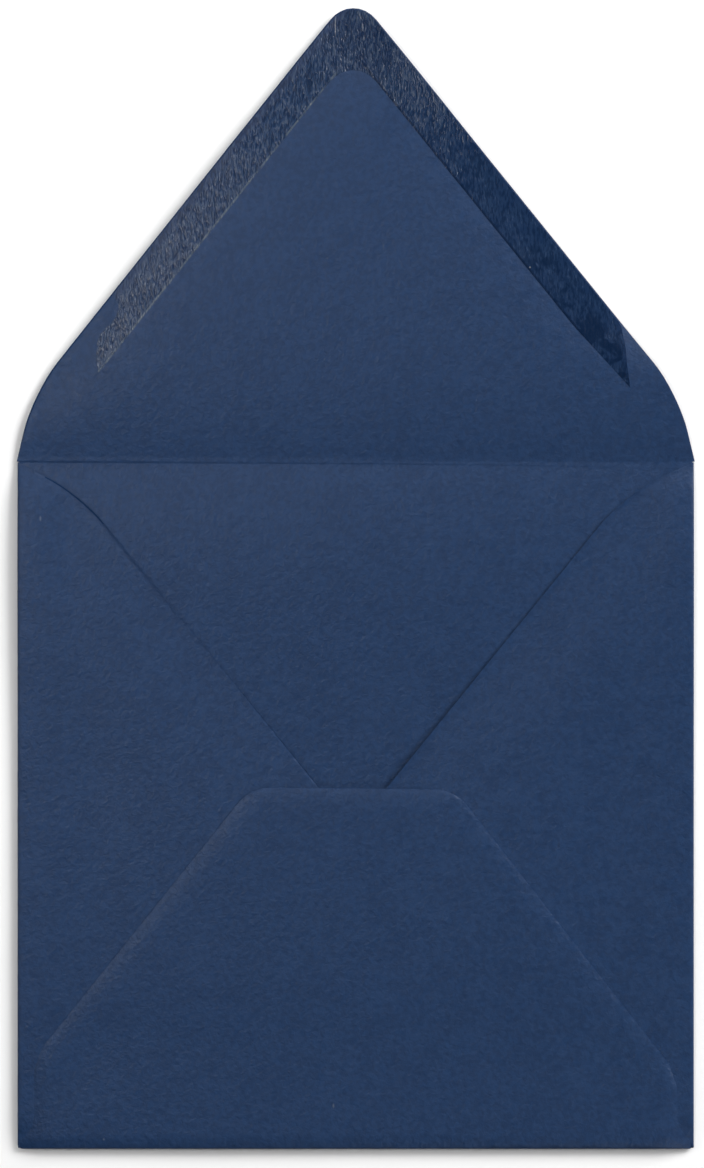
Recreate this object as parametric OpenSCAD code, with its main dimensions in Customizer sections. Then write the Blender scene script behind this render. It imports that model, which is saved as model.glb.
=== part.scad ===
// Square envelope of uncoated coloured paper, lying open with its back upwards.
// One sheet makes the front panel, the pointed top flap, the side flaps and the bottom flap.
// The origin is under the middle of the whole length; +Y points to the flap's tip, +Z is up.

/* [Envelope] */
// Width from side fold to side fold
env_w = 155; // [140:1:170]
// Height from the bottom fold to the top fold
env_h = 157.5; // [145:0.5:175]

/* [Paper] */
// Thickness of the sheet
paper_t = 0.17; // [0.12:0.01:0.3]
// Clear height of the pocket between the front panel and the side flaps
pocket_gap = 0.9; // [0.3:0.05:1]

/* [Top flap] */
// Height of the rounded tip above the top fold
flap_h = 104.1; // [90:0.1:115]
// Radius of the tip
flap_tip_r = 6.8; // [3:0.1:10]
// Height of the shoulder above the top fold
flap_shoulder_h = 15.7; // [12:0.1:20]
// Distance of the shoulder inside the side fold
flap_shoulder_in = 3.3; // [2:0.1:5]
// Radius of the shoulder's curve
flap_shoulder_r = 40; // [20:1:45]
// Angle at which the opened flap still rises from the top fold, in degrees
flap_lift = 1; // [0:0.25:4]
// Width of the low bead that folding left along the top fold
crease_w = 0.6; // [0.3:0.05:0.8]
// Height of that bead
crease_h = 0.05; // [0.02:0.01:0.08]

/* [Gum band] */
// Width of the dried gum along each side of the top flap
gum_w = 8.5; // [5:0.1:12]
// Thickness of the gum film
gum_t = 0.04; // [0.02:0.01:0.08]
// Bare margin between the flap's edge and the gum
gum_margin = 0.3; // [0.1:0.1:1]
// Height of the band's pointed ends above the top fold
gum_end_h = 18.6; // [16:0.1:24]
// Height over which each end narrows to its point
gum_taper = 17; // [10:0.5:22]
// Radius where the taper leaves the flap's side
gum_taper_r = 8; // [2:0.5:12]
// Radius of the band's inner corner under the tip
gum_inner_r = 6.9; // [3:0.1:12]

/* [Side flaps] */
// Distance of the shoulder inside the side fold
side_shoulder_in = 15.05; // [12:0.05:18]
// Drop of the shoulder below the top fold
side_shoulder_drop = 7.34; // [5:0.02:9]
// Radius of the shoulder's curve
side_shoulder_r = 42; // [20:1:45]
// Distance of each point from the middle of the envelope, before it is rounded
side_tip_gap = 2; // [1:0.1:4]
// Radius of each point
side_tip_r = 5; // [2:0.1:6]
// How far the points reach under the bottom flap
side_tip_cover = 7; // [6:0.1:12]

/* [Bottom flap] */
// Height of its straight top edge above the bottom fold
bottom_flap_h = 82.7; // [70:0.1:90]
// Width of the top edge, before its corners are rounded
bottom_top_w = 46.8; // [35:0.1:60]
// Radius of the corners of the top edge
bottom_corner_r = 8.6; // [3:0.1:12]
// Height of the shoulder above the bottom fold
bottom_shoulder_h = 15.7; // [12:0.1:20]
// Distance of the shoulder inside the side fold
bottom_shoulder_in = 1.2; // [1.1:0.1:3]
// Radius of the shoulder's curve
bottom_shoulder_r = 25; // [10:1:30]

/* [Seams] */
// Thickness of the glue between the bottom flap and the side flaps
glue_t = 0.05; // [0.02:0.01:0.1]
// Width of each line of glue
glue_w = 6; // [3:0.5:8]
// Distance from the bottom flap's edge to the glue
glue_inset = 2.5; // [1.5:0.1:4]
// Distance from each end of the bottom flap's slanting edge to the glue
glue_end = 6; // [4:0.5:12]

/* [Corner cuts] */
// Clearance between the side folds and the bottom fold
corner_relief = 0.5; // [0.3:0.1:1]
// Clearance between the side folds and the bead of the top fold
corner_slit = 0.1; // [0.05:0.05:0.4]

/* [Hidden] */

paper_colour = [0.18, 0.26, 0.37];
gum_colour = [0.13, 0.18, 0.28];
glue_colour = [0.85, 0.84, 0.78];

// Degrees between the points of an arc
arc_step = 4;
// Overlap past a face that is cut through
cut_past = 1;
$fn = 48;

// Undersides of the two layers that lie above the front panel
side_z = paper_t + pocket_gap;
bottom_z = side_z + paper_t + glue_t;
top_z = bottom_z + paper_t;

// Outer radii of the folds
side_bend_r = (side_z + paper_t) / 2;
bottom_bend_r = top_z / 2;

// The whole length is centred on the origin
bottom_y = -(env_h + flap_h * cos(flap_lift)) / 2;
fold_y = bottom_y + env_h;
flat_bottom_y = bottom_y + bottom_bend_r;
flat_x = env_w / 2 - side_bend_r;
wrap_bottom_y = flat_bottom_y + corner_relief;
wrap_top_y = fold_y - crease_w / 2 - corner_slit;

// The top flap's sides run from its shoulders and touch the circle of its tip
flap_shoulder = [env_w / 2 - flap_shoulder_in, fold_y + flap_shoulder_h];
tip_rise = fold_y + flap_h - flap_tip_r - flap_shoulder.y;
flap_lean = atan2(flap_shoulder.x, tip_rise) - asin(flap_tip_r / norm([flap_shoulder.x, tip_rise]));
flap_apex_y = flap_shoulder.y + flap_shoulder.x / tan(flap_lean);

// Both edges of the gum band are parallel to the flap's sides
gum_outer_y = flap_apex_y - gum_margin / sin(flap_lean);
gum_inner_y = flap_apex_y - (gum_margin + gum_w) / sin(flap_lean);
gum_point = leaning_point(gum_inner_y, fold_y + gum_end_h);
gum_taper_top = leaning_point(gum_outer_y, fold_y + gum_end_h + gum_taper);

side_shoulder = [env_w / 2 - side_shoulder_in, fold_y - side_shoulder_drop];
side_tip = [side_tip_gap, bottom_y + bottom_flap_h - side_tip_cover];

bottom_shoulder = [env_w / 2 - bottom_shoulder_in, bottom_y + bottom_shoulder_h];
bottom_corner = [bottom_top_w / 2, bottom_y + bottom_flap_h];

// Outlines as corners of [x, y, radius], anticlockwise from above, with the flap laid flat
top_flap_corners = mirrored_corners([
    [env_w / 2, fold_y, 0],
    [flap_shoulder.x, flap_shoulder.y, flap_shoulder_r],
    [0, flap_apex_y, flap_tip_r]
]);
gum_corners = concat(
    mirrored_corners([
        [gum_point.x, gum_point.y, 0],
        [gum_taper_top.x, gum_taper_top.y, gum_taper_r],
        [0, gum_outer_y, flap_tip_r - gum_margin]
    ]),
    [[0, gum_inner_y, gum_inner_r]]
);
side_flap_corners = [
    [env_w / 2 + cut_past, fold_y, 0],
    [env_w / 2, fold_y, 0],
    [side_shoulder.x, side_shoulder.y, side_shoulder_r],
    [side_tip.x, side_tip.y, side_tip_r],
    [env_w / 2, bottom_y, 0],
    [env_w / 2 + cut_past, bottom_y, 0]
];
bottom_flap_corners = mirrored_corners([
    [flat_x, bottom_y - cut_past, 0],
    [flat_x, flat_bottom_y, 0],
    [bottom_shoulder.x, bottom_shoulder.y, bottom_shoulder_r],
    [bottom_corner.x, bottom_corner.y, bottom_corner_r]
]);

function unit(v) = v / norm(v);

// Point at height y on a line that leans like the flap's side and meets the middle at apex_y
function leaning_point(apex_y, y) = [(apex_y - y) * tan(flap_lean), y];

// Right half of an outline, then the same corners back down on the left
function mirrored_corners(right) = concat(
    right,
    [for (i = [len(right) - 1 : -1 : 0]) if (right[i].x > 0) [-right[i].x, right[i].y, right[i][2]]]
);

// Points that round the corner at b, between a and c, with the radius b[2]
function corner_points(a, b, c) =
    let (here = [b.x, b.y])
    b[2] == 0 ? [here] :
    let (
        back = unit([a.x, a.y] - here),
        ahead = unit([c.x, c.y] - here),
        half = acos(back * ahead) / 2,
        middle = here + unit(back + ahead) * b[2] / sin(half),
        start = here + back * b[2] / tan(half) - middle,
        turn = -sign(cross(back, ahead)) * (180 - 2 * half),
        steps = ceil(abs(turn) / arc_step)
    )
    [for (i = [0 : steps])
        let (at = atan2(start.y, start.x) + turn * i / steps)
        middle + b[2] * [cos(at), sin(at)]];

function outline(corners) = [
    for (i = [0 : len(corners) - 1])
        each corner_points(
            corners[(i + len(corners) - 1) % len(corners)],
            corners[i],
            corners[(i + 1) % len(corners)]
        )
];

// Flat bar with round ends, lying on the line y = 0
module round_ended_bar(length, height) {
    translate([-(length - height) / 2, 0])
        square([length - height, height]);
    for (end = [-1, 1])
        translate([end * (length - height) / 2, height / 2])
            circle(d = height);
}

// Section through a sheet that is wrapped round into a closed flat loop
module wrapped_section(length, height) {
    difference() {
        round_ended_bar(length, height);
        translate([0, paper_t])
            round_ended_bar(length - 2 * paper_t, height - 2 * paper_t);
    }
}

// Low round-topped bead along the top fold, rooted in the paper
module crease_bead() {
    crease_r = (pow(crease_w / 2, 2) + pow(crease_h, 2)) / (2 * crease_h);
    intersection() {
        translate([0, fold_y, paper_t + crease_h - crease_r])
            rotate([0, 90, 0])
                cylinder(r = crease_r, h = 2 * flat_x, center = true);
        translate([-flat_x, fold_y - crease_w, paper_t / 2])
            cube([2 * flat_x, 2 * crease_w, paper_t / 2 + crease_h]);
    }
}

// Turns what lies flat on the front panel's plane up about the top fold
module lifted_with_flap() {
    translate([0, fold_y, 0])
        rotate([flap_lift, 0, 0])
            translate([0, -fold_y, 0])
                children();
}

// Front panel and opened top flap, with the bead between them
module panel_and_flap() {
    translate([-flat_x, flat_bottom_y, 0])
        cube([2 * flat_x, fold_y - flat_bottom_y, paper_t]);
    lifted_with_flap()
        linear_extrude(paper_t)
            polygon(outline(top_flap_corners));
    crease_bead();
}

module side_flap_shape() {
    polygon(outline(side_flap_corners));
}

// Everything between the side flaps, which the upper layer leaves open
module between_side_flaps() {
    difference() {
        translate([-env_w / 2 - cut_past, wrap_bottom_y - cut_past])
            square([env_w + 2 * cut_past, wrap_top_y - wrap_bottom_y + 2 * cut_past]);
        side_flap_shape();
        mirror([1, 0])
            side_flap_shape();
    }
}

// The sheet turned up at both side folds, with the side flaps lying over the pocket
module side_wrap() {
    difference() {
        translate([0, wrap_top_y, 0])
            rotate([90, 0, 0])
                linear_extrude(wrap_top_y - wrap_bottom_y)
                    wrapped_section(env_w, side_z + paper_t);
        translate([0, 0, paper_t + pocket_gap / 2])
            linear_extrude(side_z)
                between_side_flaps();
    }
}

// The sheet turned up at the bottom fold, with the bottom flap lying over the side flaps
module bottom_wrap() {
    intersection() {
        translate([-env_w / 2, bottom_y + bottom_flap_h, 0])
            rotate([90, 0, 90])
                linear_extrude(env_w)
                    wrapped_section(2 * bottom_flap_h, top_z);
        translate([0, 0, -cut_past])
            linear_extrude(top_z + 2 * cut_past)
                polygon(outline(bottom_flap_corners));
    }
}

module envelope_sheet() {
    color(paper_colour) {
        panel_and_flap();
        side_wrap();
        bottom_wrap();
    }
}

module flap_gum() {
    color(gum_colour)
        lifted_with_flap()
            translate([0, 0, paper_t])
                linear_extrude(gum_t)
                    polygon(outline(gum_corners));
}

// Line of glue along the right slanting edge of the bottom flap, where a side flap lies under it
module glue_line() {
    along = unit(bottom_corner - bottom_shoulder);
    inward = [-along.y, along.x];
    start = bottom_shoulder + along * glue_end + inward * (glue_inset + glue_w / 2);
    run = norm(bottom_corner - bottom_shoulder) - 2 * glue_end;
    intersection() {
        translate(start + along * run / 2)
            rotate(atan2(along.y, along.x))
                translate([0, -glue_w / 2])
                    round_ended_bar(run, glue_w);
        side_flap_shape();
    }
}

module seam_glue_right() {
    color(glue_colour)
        translate([0, 0, side_z + paper_t])
            linear_extrude(glue_t)
                glue_line();
}

module seam_glue_left() {
    mirror([1, 0, 0])
        seam_glue_right();
}

envelope_sheet();
flap_gum();
seam_glue_left();
seam_glue_right();
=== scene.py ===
import math

import bmesh
import bpy
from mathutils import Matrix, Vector, noise


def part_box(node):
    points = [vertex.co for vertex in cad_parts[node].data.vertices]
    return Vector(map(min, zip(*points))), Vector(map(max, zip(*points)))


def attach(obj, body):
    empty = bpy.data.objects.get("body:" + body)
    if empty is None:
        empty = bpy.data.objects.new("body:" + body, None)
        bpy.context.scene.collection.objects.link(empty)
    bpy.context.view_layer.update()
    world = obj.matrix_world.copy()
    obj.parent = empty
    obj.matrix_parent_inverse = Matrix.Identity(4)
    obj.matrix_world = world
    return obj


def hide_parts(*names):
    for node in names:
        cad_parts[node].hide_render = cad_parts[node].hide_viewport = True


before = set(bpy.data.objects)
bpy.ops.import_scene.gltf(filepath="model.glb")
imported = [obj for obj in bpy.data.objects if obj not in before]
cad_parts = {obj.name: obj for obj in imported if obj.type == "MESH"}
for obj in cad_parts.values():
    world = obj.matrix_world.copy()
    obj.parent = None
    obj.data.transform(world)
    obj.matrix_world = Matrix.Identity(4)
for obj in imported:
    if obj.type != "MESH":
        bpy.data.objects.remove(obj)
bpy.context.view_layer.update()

# A square envelope of blue uncoated paper, lying open with its back upwards.
# Lengths are in millimetres until a finished mesh is scaled to metres.
MM = 0.001
sheet_low, sheet_high = (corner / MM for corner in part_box("envelope_sheet"))

# Envelope
HALF_WIDTH = sheet_high.x
BOTTOM_Y = sheet_low.y
BODY_HEIGHT = 157.5
FOLD_Y = BOTTOM_Y + BODY_HEIGHT
PAPER = 0.17
SIDE_BEND = 0.535
BOTTOM_BEND = 0.645
PINCHED_BEND = 0.12
PINCH_RUN = 7.0
FOLLOW_POWER = 8
FOLLOW_REACH = 20
AT_EDGE = 0.002
FLAT_X = HALF_WIDTH - PAPER / 2 - SIDE_BEND
FLAT_BOTTOM_Y = BOTTOM_Y + PAPER / 2 + BOTTOM_BEND
NOTCH_Y = FOLD_Y - 0.1
SIDE_STRIP = math.pi * SIDE_BEND
BOTTOM_STRIP = math.pi * BOTTOM_BEND

# Flap, measured from the middle of the body and from the top fold; each side has its own slope
FLAP_APEX = (-0.64, 107.86)
FLAP_TIP_R = 6.8
FLAP_SHOULDER_H = 15.7
FLAP_SHOULDER_R = 40.0
FLAP_SLOPE = {1: 0.8086, -1: 0.7958}
FLAP_CORNER = (0.22, 0.1)

# Side flaps
SIDE_SHOULDER_X = {1: 61.75, -1: 63.15}
SIDE_SHOULDER_DROP = 7.34
SIDE_SHOULDER_R = 42.0
SIDE_LEAN = math.radians(39.04)
SIDE_TIP_DROP = 81.8
SIDE_TIP_R = 5.0
SIDE_CORNER_DROP = 0.2

# Bottom flap
BOTTOM_CORNER = {1: (22.7, -75.1), -1: (24.1, -74.6)}
BOTTOM_CORNER_R = 8.6
BOTTOM_SHOULDER = {1: (76.3, -143.9), -1: (76.3, -139.8)}
BOTTOM_SHOULDER_R = 25.0

# Cut edge: how far it rolls over in two narrow bands, and what share of that each flap has
EDGE_BANDS = (0.35, 0.45)
EDGE_ROLL = (-0.11, -0.033)
CUT_ROUND = 0.045
FLAP_ROLL = {1: 0.2, -1: 2.2}
BOTTOM_ROLL = -1.0
SIDE_ROLL = 1.3
SIDE_ROLL_RUN = 4
CLEAR_OF_FOLD = 1
LEFT_ROLL_LOW = -0.9
LEFT_ROLL_GAIN = 2.4
LEFT_ROLL_DROPS = (62, 46)

# Relaxed shape of the front panel
FOLD_LIFT = 0.8
FOLD_LIFT_REACH = 25
EDGE_LIFT = 0.65
EDGE_LIFT_FROM = 0.72
FOOT_LIFT = 0.7
FOOT_LIFT_REACH = 30
PANEL_HUMP = 1.5
HUMP_RUN = 10
HUMP_DROPS = (12, 75)
HUMP_EDGE_LOSS = 0.4
CREASE_RUN = 1.2

# Crease bead: height, flanks above and below, and how it fades towards the right
CREASE_BEAD = 0.09
CREASE_FLANKS = (0.75, 0.22)
CREASE_DROP = 0.22
CREASE_LEAN = 0.4
CREASE_BOW = 0.95
CREASE_FADE = 0.75
CREASE_FADE_SPAN = (-0.2, 0.8)

# Relaxed shape of the open flap: its rise, and how its edges hang along the gum
FLAP_RISE = 3.4
FLAP_RISE_REACH = 18
DROOP_SLOPES = {1: (0.09, 0.17), -1: (0.02, 0.10)}
DROOP_REACH = 22.0
DROOP_START = {1: 34.0, -1: 20.0}
DROOP_RAMP = 16
DROOP_LOW = 1.25
DROOP_TIP_LOSS = 0.6
DROOP_HEIGHTS = (20, 105)
BESIDE_LOSS = 0.55
BESIDE_RUN = 10
TIP_TWIST = 0.09
TIP_HEIGHTS = (70, 105)

# Slow unevenness: height and size of its long and short waves
LONG_WAVE = (0.12, 45, 3.7)
SHORT_WAVE = (0.04, 16, 9.1)

# Relaxed shape of the folded flaps
POCKET_SWELL = 0.9
SWELL_POWER = 2.4
SWELL_FOOT = 40
EDGE_GAP = {1: 0.35, -1: 0.3}
PRESS_REACH = 26
PRESS_LOW = 0.3
PRESS_DROPS = (80, 35)
PRESS_INSETS = (1, 14)
SEAM_STEP = 0.24
SEAM_SLOPE = (0.3, 2.2)

# Gum band
GUM_FILM = 0.04
GUM_SUNK = 0.004
GUM_WIDTH = 8.65
GUM_MARGIN = 0.3
GUM_INNER_R = 6.9
GUM_UNEVEN = 0.02
GUM_UNEVEN_SIZE = (1.6, 3.2)
GUM_STEP = 0.9
GUM_REACH = 108
BAND = GUM_MARGIN + GUM_WIDTH

# Glue between the bottom flap and a side flap
GLUE_RUN = (7.0, 77.0)
GLUE_INSET = 2.5
GLUE_WIDTH = 6.0
GLUE_CORNER_R = 1.5
GLUE_STEP = 3

# Steps of the mesh
SHEET_STEP = 2.2
SIDE_BEND_CUTS = 9
BOTTOM_BEND_CUTS = 10
BEFORE_BEND = (0.8, 0.4)
NEXT_TO_BEND = 0.6
CREASE_ZONE = (-2.1, 1.7)
CREASE_STEP = 0.13
BOTTOM_FLAP_REACH = 85
TOP_FLAP_REACH = 106

# Camera, straight above
VIEW_HEIGHT = 268.0
VIEW_CENTRE = (-0.85, -1.3)
CAMERA_HEIGHT = 1200.0
SENSOR = 36.0
CLIP_IN_METRES = (0.05, 20)

# Table and lamps; each lamp has its azimuth, elevation, distance, size and power
TABLE_HALF = 3000
ROOM_GLOW = 0.02
LAMPS = {
    "key": (38, 29, 1800, 1000, 43),
    "left": (176, 33, 850, 460, 1.25),
    "front": (300, 42, 900, 420, 1.35),
    "top": (88, 45, 700, 350, 1.05),
    "overhead": (160, 71, 850, 240, 1.4),
}


def smooth_step(edge0, edge1, value):
    """0 before edge0, 1 after edge1, and a smooth rise between them."""
    share = min(1.0, max(0.0, (value - edge0) / (edge1 - edge0)))
    return share * share * (3 - 2 * share)


# The flat blank


def flap_edge_x(side, height):
    """Where the flap's slanting edge is, at a height above the top fold."""
    return FLAP_APEX[0] + side * (FLAP_APEX[1] - height) * FLAP_SLOPE[side]


def half_blank(side):
    """Corners of one half of the unfolded sheet, from the bottom flap to the top flap."""

    def opened_down(y):
        return FLAT_BOTTOM_Y - BOTTOM_STRIP - (FOLD_Y + y - FLAT_BOTTOM_Y)

    def opened_out(x):
        return FLAT_X + SIDE_STRIP + (FLAT_X - x)

    corner, shoulder = BOTTOM_CORNER[side], BOTTOM_SHOULDER[side]
    side_shoulder_x = SIDE_SHOULDER_X[side]
    side_tip_x = side_shoulder_x - (SIDE_TIP_DROP - SIDE_SHOULDER_DROP) * math.tan(SIDE_LEAN)
    flap_shoulder_x = side * flap_edge_x(side, FLAP_SHOULDER_H)
    corners = [
        (corner[0], opened_down(corner[1]), BOTTOM_CORNER_R),
        (shoulder[0], opened_down(shoulder[1]), BOTTOM_SHOULDER_R),
        (FLAT_X, FLAT_BOTTOM_Y - BOTTOM_STRIP, 0),
        (FLAT_X, FLAT_BOTTOM_Y, 0),
        (FLAT_X + SIDE_STRIP, FLAT_BOTTOM_Y, 0),
        (opened_out(side_tip_x), FOLD_Y - SIDE_TIP_DROP, SIDE_TIP_R),
        (opened_out(side_shoulder_x), FOLD_Y - SIDE_SHOULDER_DROP, SIDE_SHOULDER_R),
        (FLAT_X + SIDE_STRIP, FOLD_Y - SIDE_CORNER_DROP, 0),
        (FLAT_X, NOTCH_Y, 0),
        (HALF_WIDTH + FLAP_CORNER[0], FOLD_Y + FLAP_CORNER[1], 0),
        (flap_shoulder_x, FOLD_Y + FLAP_SHOULDER_H, FLAP_SHOULDER_R),
    ]
    return [(side * x, y, radius) for x, y, radius in corners]


def cut_shape(corners, thickness, arc_segments=8):
    """A flat slab with these corners (x, y, radius), its middle at z = 0."""
    shape = bmesh.new()
    points = [shape.verts.new((x, y, -thickness / 2)) for x, y, _ in corners]
    shape.faces.new(points)
    count = len(points)
    for i, (_, _, radius) in enumerate(corners):
        if not radius:
            continue
        here = Vector(corners[i][:2])
        back = Vector(corners[i - 1][:2]) - here
        ahead = Vector(corners[(i + 1) % count][:2]) - here
        half_angle = back.angle(ahead) / 2
        bmesh.ops.bevel(
            shape, geom=[points[i]], offset=radius / math.tan(half_angle), offset_type="OFFSET",
            segments=arc_segments, profile=0.5, affect="VERTICES", clamp_overlap=False, material=-1,
        )
    bmesh.ops.recalc_face_normals(shape, faces=shape.faces[:])
    grown = bmesh.ops.extrude_face_region(shape, geom=shape.faces[:])["geom"]
    top = [item for item in grown if isinstance(item, bmesh.types.BMVert)]
    bmesh.ops.translate(shape, vec=(0, 0, thickness), verts=top)
    bmesh.ops.recalc_face_normals(shape, faces=shape.faces[:])
    return shape


def roll_share(x, y):
    """How far the cut edge rolls down at a point of the blank; below zero for a flap that is turned over."""
    if y > FOLD_Y + CLEAR_OF_FOLD:
        return FLAP_ROLL[-1 if x < 0 else 1]
    if y < FLAT_BOTTOM_Y:
        return BOTTOM_ROLL
    share = smooth_step(NOTCH_Y, NOTCH_Y - SIDE_ROLL_RUN, y)
    if x < 0:
        low, high = (FOLD_Y - drop for drop in LEFT_ROLL_DROPS)
        share *= LEFT_ROLL_GAIN * smooth_step(low, high, y) + LEFT_ROLL_LOW
    return SIDE_ROLL * share


def roll_edge(shape):
    """Rings both sides of a flat slab with narrow bands, and rolls their outer sides over."""
    for facing in (1, -1):
        face = max(shape.faces, key=lambda f: f.calc_area() if f.normal.z * facing > 0.9 else 0.0)
        for width, roll in zip(EDGE_BANDS, EDGE_ROLL):
            band = bmesh.ops.inset_region(
                shape, faces=[face], thickness=width, depth=0, use_boundary=True, use_even_offset=True,
            )["faces"]
            outer = {vert for part in band for vert in part.verts} - set(face.verts)
            for vert in outer:
                vert.co.z += roll * roll_share(vert.co.x, vert.co.y)


def soften_rim(shape, edge_round):
    """Rounds the two edges of a slab's wall."""
    walls = {face for face in shape.faces if abs(face.normal.z) < 0.1}
    rim = [edge for edge in shape.edges if len(walls.intersection(edge.link_faces)) == 1]
    bmesh.ops.bevel(
        shape, geom=rim, offset=edge_round, offset_type="OFFSET", segments=2, profile=0.5,
        affect="EDGES", clamp_overlap=False, material=-1,
    )


def mark_walls(shape, wall_material):
    """Gives the walls of a flat slab their own material slot, and keeps their borders crisp."""
    walls = {face for face in shape.faces if abs(face.normal.z) < 0.95}
    for face in shape.faces:
        face.smooth = True
        face.material_index = wall_material if face in walls else 0
    for edge in shape.edges:
        edge.smooth = len(walls.intersection(edge.link_faces)) != 1


def ruled(shape, xs, ys):
    """Cuts a flat slab along lines of constant x and y, so that it can bend there."""
    for axis, places in ((Vector((1, 0, 0)), xs), (Vector((0, 1, 0)), ys)):
        low = min(vert.co.dot(axis) for vert in shape.verts)
        high = max(vert.co.dot(axis) for vert in shape.verts)
        for place in places:
            if low < place < high:
                bmesh.ops.bisect_plane(
                    shape, geom=shape.verts[:] + shape.edges[:] + shape.faces[:], dist=0.003,
                    plane_co=axis * place, plane_no=axis,
                )


def steps(start, stop, size):
    """Evenly spaced values from start to stop, no further apart than size."""
    count = max(1, math.ceil(abs(stop - start) / size))
    return [start + (stop - start) * i / count for i in range(count + 1)]


# Folding


def fold_radius(bend, along, low, high):
    """Radius of a fold's bend, which is pinched at the fold's two ends."""
    free = smooth_step(0, PINCH_RUN, along - low) * smooth_step(0, PINCH_RUN, high - along)
    return PINCHED_BEND + (bend - PINCHED_BEND) * free


def panel_rise(x, y):
    """Height of the front panel and the open flap above the plane that they rest on."""
    from_fold = FOLD_Y - y
    fold_lift = FOLD_LIFT * math.exp(-abs(from_fold) / FOLD_LIFT_REACH)
    if from_fold < 0:
        return fold_lift + FLAP_RISE * (1 - math.exp(from_fold / FLAP_RISE_REACH))
    across = abs(x) / HALF_WIDTH
    edge_lift = EDGE_LIFT * smooth_step(EDGE_LIFT_FROM, 1.0, across)
    foot_lift = FOOT_LIFT * smooth_step(BOTTOM_Y + FOOT_LIFT_REACH, BOTTOM_Y, y)
    past_crease = from_fold - CREASE_RUN * (1 - math.exp(-from_fold / CREASE_RUN))
    hump = PANEL_HUMP * (1 - math.exp(-past_crease / HUMP_RUN)) * (1 - smooth_step(*HUMP_DROPS, from_fold))
    return max(fold_lift, edge_lift, foot_lift) + hump * (1 - HUMP_EDGE_LOSS * across * across)


def droop(inside, outer, inner, beside):
    """Drop towards a slanting edge, which slopes outwards by beside next to the gum, by inner where
    the gum starts and by outer at the edge."""
    if inside >= DROOP_REACH:
        return 0.0
    run = DROOP_REACH - GUM_WIDTH
    if inside >= GUM_WIDTH:
        return beside * (DROOP_REACH - inside) ** 2 / (2 * run)
    past = GUM_WIDTH - inside
    return beside * run / 2 + inner * past - (inner - outer) * past * past / (2 * GUM_WIDTH)


def gum_droop(x, y):
    """How far the flap's slanting edges hang, where the dried gum has also drawn the band hollow."""
    height = y - FOLD_Y
    if height <= 0:
        return 0.0
    inside = {
        side: max(0.0, side * (flap_edge_x(side, height) - x) * math.cos(math.atan(FLAP_SLOPE[side])))
        for side in (1, -1)
    }
    higher = DROOP_LOW - DROOP_TIP_LOSS * smooth_step(*DROOP_HEIGHTS, height)
    total = 0.0
    for side in (1, -1):
        share = smooth_step(DROOP_START[side] - DROOP_RAMP, DROOP_START[side], height) * higher
        outer, inner = DROOP_SLOPES[side]
        far_side = smooth_step(GUM_WIDTH, GUM_WIDTH + BESIDE_RUN, inside[-side])
        total += share * droop(inside[side], outer, inner, inner * (1 - BESIDE_LOSS * far_side))
    return TIP_TWIST * (x - FLAP_APEX[0]) * smooth_step(*TIP_HEIGHTS, height) - total


def crease_bead(x, y):
    """The bead that a closed and opened fold leaves in its crease, with a long upper flank."""
    across = x / HALF_WIDTH
    above = y - (FOLD_Y - CREASE_DROP - CREASE_LEAN * across - CREASE_BOW * max(0.0, across) ** 2)
    flank = CREASE_FLANKS[0 if above > 0 else 1]
    fade = 1 - CREASE_FADE * smooth_step(*CREASE_FADE_SPAN, across)
    return CREASE_BEAD * fade * math.exp(-((above / flank) ** 2))


def wave(x, y):
    """Slow unevenness of a sheet that has been handled."""
    return sum(
        height * noise.noise(Vector((x / size, y / size, slice_z)))
        for height, size, slice_z in (LONG_WAVE, SHORT_WAVE)
    )


def folded(x, y, height):
    """Where a point of the flat blank goes when it is folded up; height is above the paper's middle."""
    side = 1 if x > 0 else -1
    reach, drop = abs(x), FLAT_BOTTOM_Y - y
    side_r = fold_radius(SIDE_BEND, y, BOTTOM_Y, FOLD_Y)
    bottom_r = fold_radius(BOTTOM_BEND, x, -HALF_WIDTH, HALF_WIDTH)
    below_fold = y < NOTCH_Y + AT_EDGE
    end_x = HALF_WIDTH - PAPER / 2 - side_r if below_fold else FLAT_X
    end_y = BOTTOM_Y + PAPER / 2 + bottom_r
    near_foot = smooth_step(FOLLOW_REACH, 0, -drop)
    layer, normal, level = "panel", Vector((0, 0, 1)), 0.0
    if drop > AT_EDGE:
        turn = min(math.pi, drop / BOTTOM_BEND)
        out_y = end_y - bottom_r * math.sin(turn) + max(0.0, drop - BOTTOM_STRIP)
        place = Vector((x, out_y, bottom_r * (1 - math.cos(turn))))
        normal = Vector((0, math.sin(turn), math.cos(turn)))
        layer, level = "bottom", turn / math.pi
    elif reach > FLAT_X and below_fold:
        past = reach - FLAT_X
        turn = min(math.pi, past / SIDE_BEND)
        out_x = end_x + side_r * math.sin(turn) - max(0.0, past - SIDE_STRIP)
        out_y = y + (end_y - FLAT_BOTTOM_Y) * near_foot
        place = Vector((side * out_x, out_y, side_r * (1 - math.cos(turn))))
        normal = Vector((-side * math.sin(turn), 0, math.cos(turn)))
        layer, level = "side", turn / math.pi
    else:
        near_side = (reach / FLAT_X) ** FOLLOW_POWER if below_fold else 0.0
        place = Vector((
            x + side * (end_x - FLAT_X) * near_side,
            y + (end_y - FLAT_BOTTOM_Y) * near_foot,
            0,
        ))
    place.z += PAPER / 2 + rise(place.x, place.y, layer, level)
    place += normal * height
    place.z = max(place.z, 0.0)
    return place


def rise(x, y, layer, level):
    """Height that the sheet's relaxed shape adds at a point, for each of its layers."""
    height = panel_rise(x, y) + wave(x, y)
    if layer == "panel":
        return max(height + gum_droop(x, y) + crease_bead(x, y), 0.0)
    if layer == "side" and level >= 1:
        return height + pocket_swell(x, y) - side_press(x, y)
    if layer == "bottom" and level >= 1:
        return height + bottom_lift(x, y) + pocket_swell(x, y)
    return height


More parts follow.
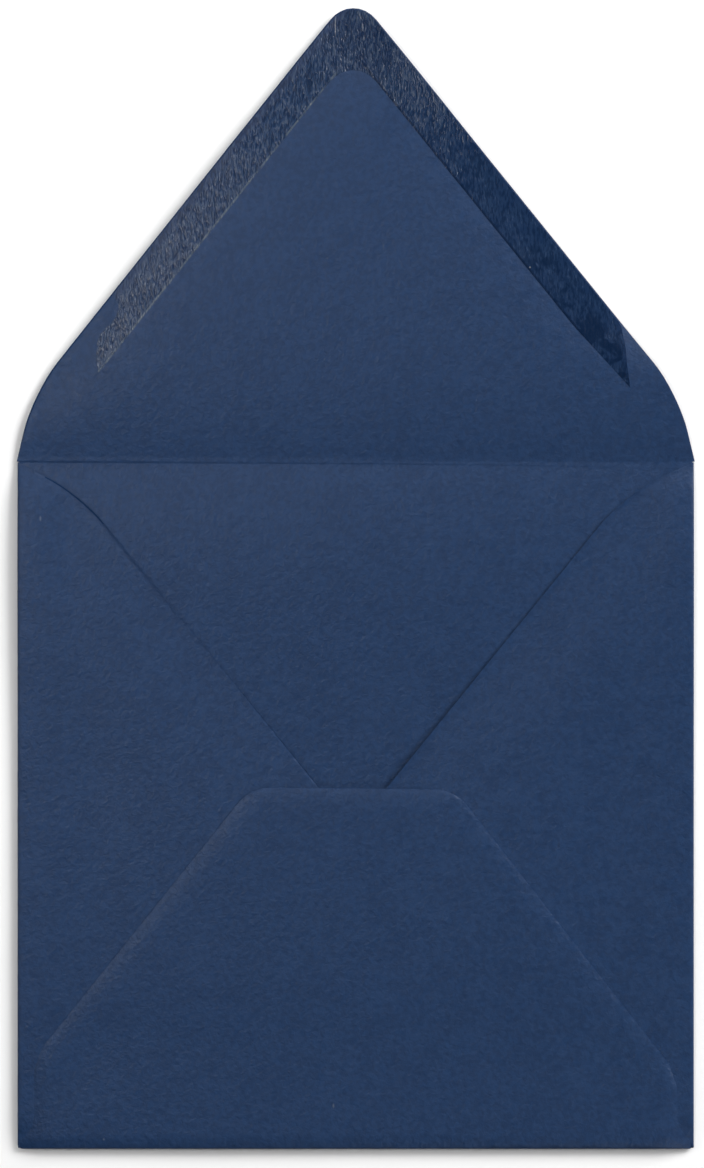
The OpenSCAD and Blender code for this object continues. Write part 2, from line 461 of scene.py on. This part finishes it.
def pocket_swell(x, y):
    """How far the folded flaps spring up from the front panel between the folds."""
    across = min(1.0, abs(x) / HALF_WIDTH)
    return POCKET_SWELL * (1 - across ** SWELL_POWER) * smooth_step(0, SWELL_FOOT, y - BOTTOM_Y)


def side_free_distance(x, y):
    """Distance of a point of a side flap from the flap's free upper edge."""
    side = 1 if x > 0 else -1
    from_shoulder = SIDE_SHOULDER_X[side] - abs(x)
    line_y = FOLD_Y - SIDE_SHOULDER_DROP - from_shoulder / math.tan(SIDE_LEAN)
    if from_shoulder < 0:
        past_shoulder = from_shoulder / (HALF_WIDTH - SIDE_SHOULDER_X[side])
        line_y = FOLD_Y - SIDE_SHOULDER_DROP * (1 + past_shoulder)
    return max(0.0, (line_y - y) * math.sin(SIDE_LEAN))


def side_press(x, y):
    """How far the free edge of a side flap lies down towards the front panel."""
    low, high = (FOLD_Y - drop for drop in PRESS_DROPS)
    free = PRESS_LOW + (1 - PRESS_LOW) * smooth_step(low, high, y)
    start, stop = (HALF_WIDTH - inset for inset in PRESS_INSETS)
    free *= smooth_step(start, stop, abs(x))
    slack = 2 * SIDE_BEND - PAPER - EDGE_GAP[1 if x > 0 else -1] + pocket_swell(x, y)
    return slack * free * smooth_step(PRESS_REACH, 0, side_free_distance(x, y))


def seam_line(side):
    """The bottom flap's top corner, the way along its slanting edge and the way inwards, all taken
    on the right half."""
    corner = Vector((BOTTOM_CORNER[side][0], FOLD_Y + BOTTOM_CORNER[side][1]))
    along = Vector((BOTTOM_SHOULDER[side][0], FOLD_Y + BOTTOM_SHOULDER[side][1])) - corner
    along.normalize()
    return corner, along, Vector((along.y, -along.x))


def bottom_lift(x, y):
    """The bottom flap stands a hair proud of the side flaps, and its edges come down to them."""
    corner, _, inward = seam_line(1 if x > 0 else -1)
    inside = min((Vector((abs(x), y)) - corner).dot(inward), corner.y - y)
    return SEAM_STEP * smooth_step(*SEAM_SLOPE, inside)


# Shader maths


class Level:
    """A number that varies over a surface, written in sums and products that add their own nodes."""

    def __init__(self, finish, socket):
        self.finish, self.socket = finish, socket

    def _maths(self, operation, first, second):
        return self.finish.node("ShaderNodeMath", {"operation": operation}, {0: first, 1: second}).level()

    def __add__(self, other):
        return self._maths("ADD", self, other)

    def __radd__(self, other):
        return self._maths("ADD", other, self)

    def __sub__(self, other):
        return self._maths("SUBTRACT", self, other)

    def __rsub__(self, other):
        return self._maths("SUBTRACT", other, self)

    def __mul__(self, other):
        return self._maths("MULTIPLY", self, other)

    def __rmul__(self, other):
        return self._maths("MULTIPLY", other, self)


class Placed:
    """A node in a finish, with short ways to its outputs."""

    def __init__(self, finish, made):
        self.finish, self.made = finish, made

    def out(self, name=0):
        return self.made.outputs[name]

    def level(self, name=0):
        return Level(self.finish, self.made.outputs[name])


class Finish:
    """A material whose nodes are added one expression at a time."""

    def __init__(self, name):
        self.material = bpy.data.materials.new(name)
        self.material.use_nodes = True
        self.tree = self.material.node_tree
        self.tree.nodes.clear()
        where = self.node("ShaderNodeTexCoord").out("Object")
        self.place = self.vector("SCALE", {0: where, "Scale": 1 / MM}).out()

    def node(self, kind, settings=None, inputs=None):
        made = self.tree.nodes.new(kind)
        for name, value in (settings or {}).items():
            setattr(made, name, value)
        for name, value in (inputs or {}).items():
            if isinstance(value, Level):
                value = value.socket
            if isinstance(value, bpy.types.NodeSocket):
                self.tree.links.new(value, made.inputs[name])
            else:
                made.inputs[name].default_value = value
        return Placed(self, made)

    def vector(self, operation, inputs):
        return self.node("ShaderNodeVectorMath", {"operation": operation}, inputs)

    def stretched(self, along_y, turn=0.0):
        """The surface's own millimetres, turned about Z and then scaled along Y."""
        turned = self.node(
            "ShaderNodeVectorRotate", {"rotation_type": "Z_AXIS"}, {"Vector": self.place, "Angle": turn}
        ).out()
        return self.vector("MULTIPLY", {0: turned, 1: (1, along_y, 1)}).out()

    def grain(self, size, detail=2.0, rough=0.5, distortion=0.0, place=None, offset=0.0):
        """Soft noise about 0.5, with lumps of this many millimetres."""
        made = self.node("ShaderNodeTexNoise", {"noise_dimensions": "4D"}, {
            "Vector": place or self.place, "W": offset, "Scale": 1 / size, "Detail": detail,
            "Roughness": rough, "Distortion": distortion,
        })
        return made.level("Fac")

    def inside_flap(self, side):
        """Millimetres inwards from one slanting edge of the top flap."""
        lean = math.atan(FLAP_SLOPE[side])
        inwards = (-side * math.cos(lean), -math.sin(lean), 0)
        across = self.vector("DOT_PRODUCT", {0: self.place, 1: inwards}).level("Value")
        apex_x, apex_y = FLAP_APEX[0], FLAP_APEX[1] + FOLD_Y
        return across + (side * apex_x * math.cos(lean) + apex_y * math.sin(lean))

    def fleck(self, x, height, radius, length):
        """1 on a small upright mark at this place, its height counted from the top fold, and 0 off it."""
        from_mark = self.vector("SUBTRACT", {0: self.place, 1: (x, FOLD_Y + height, 0)}).out()
        squeezed = self.vector("MULTIPLY", {0: from_mark, 1: (1, radius / length, 0)}).out()
        far = self.vector("LENGTH", {0: squeezed}).level("Value")
        return 1 - self.between(far, 0.3 * radius, radius)

    def mixed(self, share, first, second):
        """One colour turning into another as share goes from 0 to 1."""
        return self.node(
            "ShaderNodeMix", {"data_type": "RGBA", "clamp_factor": True}, {0: share, 6: first, 7: second}
        ).out(2)

    def between(self, value, low, high):
        """0 where value is below low, 1 above high, and a smooth rise between them."""
        made = self.node("ShaderNodeMapRange", {"interpolation_type": "SMOOTHSTEP"}, {
            "Value": value, "From Min": low, "From Max": high,
        })
        return made.level()

    def surface(self, colour, roughness, relief, depth, constants=None):
        """Joins the finish up: colour, roughness and a relief whose full height is depth millimetres."""
        bump = self.node("ShaderNodeBump", None, {"Height": relief, "Distance": depth * MM, "Strength": 1.0})
        inputs = {"Base Color": colour, "Roughness": roughness, "Normal": bump.out()}
        inputs.update(constants or {})
        shader = self.node("ShaderNodeBsdfPrincipled", None, inputs)
        self.node("ShaderNodeOutputMaterial", None, {"Surface": shader.out()})
        return self.material


# Finishes

# Blue paper
NAVY = (0.0109, 0.0342, 0.0950, 1)
NAVY_DEEP = (0.0080, 0.0266, 0.0765, 1)
NAVY_WORN = (0.0150, 0.0385, 0.1000, 1)
CUT_NAVY = (0.0085, 0.028, 0.082, 1)
FLECK = (0.06, 0.08, 0.13, 1)
PAPER_SHEEN = 0.27
PAPER_ROUGH = 0.43
PAPER_RELIEF = 0.24
FIBRE_LEAN = 0.7
CUT_SHEEN = 0.05
CUT_ROUGH = 0.85
CUT_RELIEF = 0.05
PAPER_FLECKS = ((-72.2, -13.0, 0.8), (-5.1, -147.5, 0.7), (-57.7, -155.2, 0.35))
PAPER_FLECK_R = 0.3

# Dried gum
GUM_NAVY = (0.0062, 0.0200, 0.0590, 1)
GUM_GREY = (0.0088, 0.0252, 0.0670, 1)
GUM_PALE = (0.0105, 0.0310, 0.0830, 1)
GUM_BLUE = (0.0080, 0.0260, 0.0800, 1)
# Painted shade: a near-black navy laid into the gum's wrinkle furrows, into patches on the right band's
# lower part and along the right band's inner edge.
PAINTED_GUM_SHADE = (0.0028, 0.0105, 0.0330, 1)
# Painted highlight: a pale grey laid on the left band's wrinkle crests and along its inner edge, where a
# glossy gum film would shine.
PAINTED_GUM_HIGHLIGHT = (0.075, 0.098, 0.130, 1)
SCRATCH_WHITE = (0.30, 0.31, 0.33, 1)
GUM_GLOSS = 0.34
GUM_ROUGH = 0.23
GUM_RELIEF = 0.21
GUM_SCRATCH = (-4.66, 100.0, 0.13, 3.4)
GUM_SPECK = (39.9, 44.5, 0.28, 0.28)

# Set glue and table
GLUE_CREAM = (0.62, 0.60, 0.52, 1)
GLUE_PALE = (0.7, 0.68, 0.6, 1)
GLUE_ROUGH = 0.5
GLUE_RELIEF = 0.03
TABLE_WHITE = (0.945, 0.945, 0.945, 1)
TABLE_SHADE = (0.935, 0.935, 0.935, 1)
TABLE_ROUGH = 0.9
TABLE_RELIEF = 0.001


def paper_relief(finish):
    """Felt marks, matted fibres and fine tooth of uncoated paper, as one height from 0 to 1."""
    felt = finish.grain(2.2, 3, 0.55)
    fibres = finish.grain(1.1, 2, 0.5, 0.6, offset=4.0)
    tooth = finish.grain(0.4, 1, 0.5, offset=8.0)
    return felt * 0.4 + fibres * 0.55 + tooth * 0.05


def blue_paper():
    """Blue uncoated paper, dyed through, with cloudy colour and matted fibres."""
    finish = Finish("blue_paper")
    cloud = finish.grain(5, 2, 0.5, offset=2.0)
    mottle = finish.grain(1.2, 2, 0.5, 0.4, offset=5.0)
    lighter = finish.between(cloud * 0.3 + mottle * 0.7, 0.37, 0.63)
    colour = finish.mixed(lighter, NAVY_DEEP, NAVY)
    fibre = finish.grain(0.5, 2, 0.5, 1.2, place=finish.stretched(0.25, FIBRE_LEAN), offset=11.0)
    colour = finish.mixed(finish.between(fibre, 0.66, 0.8) * 0.45, colour, NAVY_WORN)
    for x, height, length in PAPER_FLECKS:
        colour = finish.mixed(finish.fleck(x, height, PAPER_FLECK_R, length), colour, FLECK)
    roughness = PAPER_ROUGH + (finish.grain(1.6, 2, 0.5, offset=7.0) - 0.5) * 0.24
    relief = paper_relief(finish)
    return finish.surface(colour, roughness, relief, PAPER_RELIEF, {"Specular IOR Level": PAPER_SHEEN})


def cut_paper():
    """The paper's cut edge, where the broken fibres have no sheen."""
    finish = Finish("cut_paper")
    ragged = finish.grain(0.4, 3, 0.6, offset=1.0)
    colour = finish.mixed(finish.between(ragged, 0.3, 0.7), NAVY, CUT_NAVY)
    roughness = CUT_ROUGH + (ragged - 0.5) * 0.1
    return finish.surface(colour, roughness, ragged, CUT_RELIEF, {"Specular IOR Level": CUT_SHEEN})


def inner_line(finish, inside, other, width, start):
    """1 in the last part of the gum band on its inner side, which starts this far from the other edge."""
    line = finish.between(inside, BAND - width, BAND - 0.35) * (1 - finish.between(inside, BAND, BAND + 0.3))
    return line * finish.between(other, BAND + start, BAND + start + 4)


def dried_gum():
    """A thin glossy film that dried in fine upright wrinkles. Painted shade darkens the furrows, patches on
    the right band's lower part and the right band's inner edge; painted highlights lighten the left band's
    crests and inner edge.
    """
    finish = Finish("dried_gum")
    wrinkles = finish.grain(0.35, 1, 0.5, 0.25, place=finish.stretched(0.25), offset=3.0)
    blotch = finish.grain(4.5, 3, 0.55, offset=6.0)
    left, right = finish.inside_flap(-1), finish.inside_flap(1)
    colour = finish.mixed(finish.between(blotch, 0.35, 0.65), GUM_NAVY, GUM_GREY)
    colour = finish.mixed(finish.between(right, 7, 24) * 0.85, colour, GUM_PALE)
    rim = 1 - finish.between(left + blotch * 2.5, 1.6, 4.2)
    colour = finish.mixed(rim, colour, GUM_BLUE)
    # Painted shade in the wrinkles' furrows, standing in for the shade of their relief.
    painted_furrow_shade = 1 - finish.between(wrinkles, 0.38, 0.56)
    colour = finish.mixed(painted_furrow_shade * 0.7, colour, PAINTED_GUM_SHADE)
    # Painted highlight on the wrinkle crests of the left band.
    painted_crest_highlight = finish.between(wrinkles, 0.52, 0.66) * (1 - finish.between(left, 15, 60))
    colour = finish.mixed(painted_crest_highlight * 0.3, colour, PAINTED_GUM_HIGHLIGHT)
    # Painted shade: dark, slightly smoother patches on the right band's lower part, where the glossy gum
    # reflects a dark part of the room.
    shade_patch_noise = finish.between(finish.grain(3.4, 3, 0.55, 0.8, offset=13.0), 0.46, 0.58)
    painted_shade_patches = shade_patch_noise * finish.between(right, 2.0, 4.5) * finish.between(left, 62, 76)
    # Painted shade along the right band's inner edge.
    painted_edge_shade = inner_line(finish, right, left, 0.6, 2)
    colour = finish.mixed((painted_shade_patches + painted_edge_shade) * 0.85, colour, PAINTED_GUM_SHADE)
    # Painted highlight along the left band's inner edge, broken up by a stretched grain.
    painted_edge_highlight = inner_line(finish, left, right, 0.5, 4)
    highlight_breaks = finish.between(finish.grain(1.1, 2, 0.5, place=finish.stretched(0.5), offset=15.0), 0.32, 0.62)
    colour = finish.mixed(painted_edge_highlight * highlight_breaks * 0.85, colour, PAINTED_GUM_HIGHLIGHT)
    colour = finish.mixed(finish.fleck(*GUM_SCRATCH) * 0.5, colour, SCRATCH_WHITE)
    colour = finish.mixed(finish.fleck(*GUM_SPECK) * 0.4, colour, SCRATCH_WHITE)
    roughness = GUM_ROUGH + (blotch - 0.5) * 0.12 + (wrinkles - 0.5) * 0.2 + rim * 0.14 - painted_shade_patches * 0.06
    relief = wrinkles * (1 - finish.between(left, 15, 65) * 0.75)
    return finish.surface(colour, roughness, relief, GUM_RELIEF, {"Specular IOR Level": GUM_GLOSS})


def set_glue():
    """Cream glue, set hard in a flat line."""
    finish = Finish("set_glue")
    lumps = finish.grain(1.5, 3, 0.5)
    colour = finish.mixed(finish.between(lumps, 0.3, 0.7), GLUE_CREAM, GLUE_PALE)
    return finish.surface(colour, GLUE_ROUGH + (lumps - 0.5) * 0.2, lumps, GLUE_RELIEF)


def white_table():
    """Matt white board."""
    finish = Finish("white_table")
    soft = finish.grain(30, 2, 0.5)
    colour = finish.mixed(finish.between(soft, 0.3, 0.7), TABLE_SHADE, TABLE_WHITE)
    roughness = TABLE_ROUGH + (soft - 0.5) * 0.02
    return finish.surface(colour, roughness, soft, TABLE_RELIEF, {"Specular IOR Level": 0.0})


# Pieces


def in_metres(name, shape, materials):
    """Turns a finished mesh, still in millimetres, into an object."""
    bmesh.ops.scale(shape, vec=(MM, MM, MM), verts=shape.verts[:])
    mesh = bpy.data.meshes.new(name)
    shape.to_mesh(mesh)
    shape.free()
    made = bpy.data.objects.new(name, mesh)
    bpy.context.scene.collection.objects.link(made)
    for material in materials:
        mesh.materials.append(material)
    return made


def piece(name, shape, materials, node):
    """A piece that rides on the envelope and stands for one of its solids."""
    made = in_metres(name, shape, materials)
    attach(made, "root")
    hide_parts(node)


def sheet_rules():
    """Lines along which the blank is cut up: close together at the folds and wider apart elsewhere."""
    side_end = FLAT_X + SIDE_STRIP
    bottom_end = FLAT_BOTTOM_Y - BOTTOM_STRIP
    crease_low, crease_high = (FOLD_Y + end for end in CREASE_ZONE)
    wide, close = BEFORE_BEND
    right = (
        steps(0, FLAT_X - wide, SHEET_STEP)
        + [FLAT_X - close]
        + steps(FLAT_X, side_end, SIDE_STRIP / SIDE_BEND_CUTS)
        + steps(side_end + NEXT_TO_BEND, side_end + FLAT_X, SHEET_STEP)
    )
    ys = (
        steps(bottom_end - BOTTOM_FLAP_REACH, bottom_end - NEXT_TO_BEND, SHEET_STEP)
        + steps(bottom_end, FLAT_BOTTOM_Y, BOTTOM_STRIP / BOTTOM_BEND_CUTS)
        + steps(FLAT_BOTTOM_Y + NEXT_TO_BEND, crease_low - NEXT_TO_BEND, SHEET_STEP)
        + steps(crease_low, crease_high, CREASE_STEP)
        + steps(crease_high + NEXT_TO_BEND, FOLD_Y + TOP_FLAP_REACH, SHEET_STEP)
    )
    return sorted({-x for x in right} | set(right)), ys


def make_sheet(materials):
    """The whole envelope: one blank, cut out flat and folded up."""
    right, left = half_blank(1), half_blank(-1)
    apex = (FLAP_APEX[0], FOLD_Y + FLAP_APEX[1], FLAP_TIP_R)
    shape = cut_shape(right + [apex] + left[::-1], PAPER)
    roll_edge(shape)
    soften_rim(shape, CUT_ROUND)
    mark_walls(shape, 1)
    ruled(shape, *sheet_rules())
    for vert in shape.verts:
        vert.co = folded(*vert.co)
    piece("envelope", shape, materials, "envelope_sheet")


def gum_corners():
    """The gum band's outline on the flap: a bent band with a pointed end on each side."""

    def at(side, height, inside):
        lean = math.atan(FLAP_SLOPE[side])
        return (flap_edge_x(side, height) - side * inside / math.cos(lean), FOLD_Y + height)

    def meeting(inside):
        """Where the two lines that run this far inside the flap's edges meet."""
        lean = (math.atan(FLAP_SLOPE[1]) + math.atan(FLAP_SLOPE[-1])) / 2
        return (FLAP_APEX[0], FOLD_Y + FLAP_APEX[1] - inside / math.sin(lean))

    right = [
        (*at(1, 31.0, BAND), 20),
        (62.9, FOLD_Y + 16.9, 0),
        (62.1, FOLD_Y + 22.3, 3),
        (61.8, FOLD_Y + 26.2, 4),
        (*at(1, 31.5, GUM_MARGIN), 3),
    ]
    left = [
        (*at(-1, 20.3, BAND), 0),
        (-59.5, FOLD_Y + 24.0, 2.5),
        (-58.9, FOLD_Y + 28.8, 2.5),
        (-55.0, FOLD_Y + 32.8, 3),
        (-54.0, FOLD_Y + 35.8, 2),
        (*at(-1, 38.2, GUM_MARGIN), 2),
    ]
    outer = (*meeting(GUM_MARGIN), FLAP_TIP_R - GUM_MARGIN)
    inner = (*meeting(BAND), GUM_INNER_R)
    return right + [outer] + left[::-1] + [inner]


def make_gum(materials):
    """The film of dried gum, which follows the flap and is uneven on top."""
    shape = cut_shape(gum_corners(), GUM_FILM)
    mark_walls(shape, 0)
    ruled(shape, steps(-HALF_WIDTH, HALF_WIDTH, GUM_STEP), steps(FOLD_Y, FOLD_Y + GUM_REACH, GUM_STEP))
    lump_x, lump_y = GUM_UNEVEN_SIZE
    for vert in shape.verts:
        x, y, height = vert.co
        if height > 0:
            height += GUM_UNEVEN * noise.noise(Vector((x / lump_x, y / lump_y, 0.4)))
        vert.co = folded(x, y, PAPER / 2 + GUM_FILM / 2 - GUM_SUNK + height)
    piece("gum_band", shape, materials, "flap_gum")


def make_glue(name, node, side, materials):
    """A flat line of glue that fills the gap between the bottom flap's slanting edge and a side flap."""
    corner, along, inward = seam_line(side)
    (start, stop), near, far = GLUE_RUN, GLUE_INSET, GLUE_INSET + GLUE_WIDTH
    ends = [(start, near), (stop, near), (stop, far), (start, far)]
    places = [corner + along * run + inward * inset for run, inset in ends]
    shape = cut_shape([(side * place.x, place.y, GLUE_CORNER_R) for place in places], PAPER)
    ruled(shape, steps(-HALF_WIDTH, HALF_WIDTH, GLUE_STEP), steps(BOTTOM_Y, FOLD_Y, GLUE_STEP))
    for vert in shape.verts:
        x, y, height = vert.co
        if height > 0:
            vert.co.z = 2 * BOTTOM_BEND + rise(x, y, "bottom", 1)
        else:
            vert.co.z = PAPER + 2 * SIDE_BEND + rise(x, y, "side", 1)
    piece(name, shape, materials, node)


# Table, lamps and camera


def make_table():
    """A flat white table, far wider than the view."""
    shape = bmesh.new()
    bmesh.ops.create_grid(shape, x_segments=1, y_segments=1, size=TABLE_HALF)
    table = in_metres("table", shape, [white_table()])


def soft_light(name, azimuth, elevation, distance, size, power):
    """A round softbox that faces the envelope; azimuth runs anticlockwise from +X, in degrees."""
    turn, tilt = math.radians(azimuth), math.radians(elevation)
    away = Vector((math.cos(turn) * math.cos(tilt), math.sin(turn) * math.cos(tilt), math.sin(tilt)))
    lamp = bpy.data.lights.new(name, "AREA")
    lamp.shape = "DISK"
    lamp.size = size * MM
    lamp.energy = power
    light = bpy.data.objects.new(name, lamp)
    light.location = away * distance * MM
    light.rotation_mode = "QUATERNION"
    light.rotation_quaternion = away.to_track_quat("Z", "Y")
    light.visible_camera = False
    bpy.context.scene.collection.objects.link(light)


def make_camera():
    """A camera straight above, whose view is as high as the photo's."""
    lens = bpy.data.cameras.new("camera")
    lens.sensor_width = SENSOR
    lens.lens = SENSOR * CAMERA_HEIGHT / VIEW_HEIGHT
    lens.clip_start, lens.clip_end = CLIP_IN_METRES
    camera = bpy.data.objects.new("camera", lens)
    camera.location = (VIEW_CENTRE[0] * MM, VIEW_CENTRE[1] * MM, CAMERA_HEIGHT * MM)
    bpy.context.scene.collection.objects.link(camera)
    bpy.context.scene.camera = camera


def make_room():
    """Even pale light from all round, and colours shown as they are."""
    scene = bpy.context.scene
    room = bpy.data.worlds.new("room")
    room.use_nodes = True
    background = room.node_tree.nodes["Background"]
    background.inputs["Color"].default_value = (1, 1, 1, 1)
    background.inputs["Strength"].default_value = ROOM_GLOW
    scene.world = room
    scene.view_settings.view_transform = "Standard"
    scene.view_settings.look = "None"


make_sheet([blue_paper(), cut_paper()])
make_gum([dried_gum()])
glue = set_glue()
make_glue("glue_line_left", "seam_glue_left", -1, [glue])
make_glue("glue_line_right", "seam_glue_right", 1, [glue])
make_table()
for lamp_name, settings in LAMPS.items():
    soft_light(lamp_name, *settings)
make_room()
make_camera()
